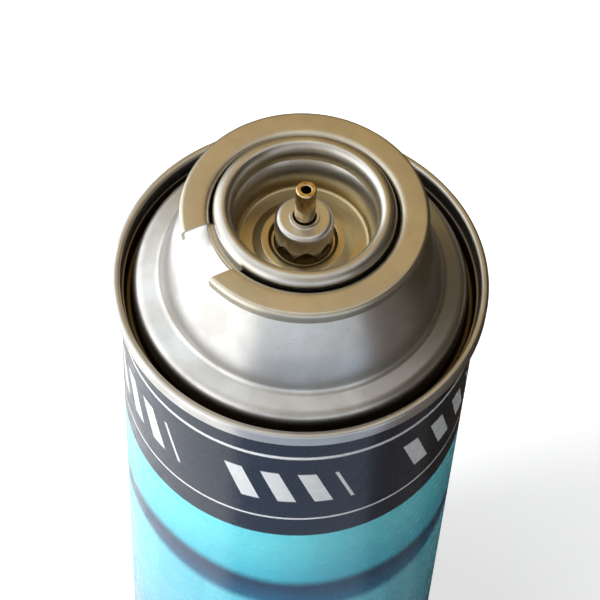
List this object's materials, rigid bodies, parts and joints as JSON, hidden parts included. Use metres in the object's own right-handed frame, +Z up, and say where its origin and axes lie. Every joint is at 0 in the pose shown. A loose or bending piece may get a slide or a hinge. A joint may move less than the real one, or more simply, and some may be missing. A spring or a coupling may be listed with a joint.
{
  "type": "gas canister",
  "caption": "Sealed printed tinplate gas canister for a portable stove, with a notched collar, a crimped valve cup and a hollow stem that presses down on a spring.",
  "frame": {"origin": "centre of the base, on the plane that the lower seam stands on", "axes": "+Z up the can's axis to the stem; the notch in the collar faces -Y"},
  "size_m": [0.0684, 0.0684, 0.1843],
  "materials": {
    "printed_tinplate": "glossy print of blue bands over tinplate",
    "tinplate": "bare satin tinplate with fine marks of the rolling",
    "stem_metal": "polished, plated brass",
    "rubber": "matt black rubber",
    "housing_plastic": "natural moulded plastic",
    "spring_steel": "drawn spring wire"
  },
  "bodies": {
    "canister": {"can": "printed_tinplate", "collar": "tinplate", "valve_cup": "tinplate", "cup_gasket": "rubber", "stem_gasket": "rubber", "valve_housing": "housing_plastic", "valve_spring": "spring_steel"},
    "stem": {"valve_stem": "stem_metal"}
  },
  "joints": [
    {"name": "stem_press", "type": "slide", "parent": "canister", "child": "stem", "axis": [0, 0, -1], "range_m": [0, 0.0022], "stiffness_N_per_m": 1500, "springref_m": -0.002, "deforming": ["valve_spring"]}
  ]
}
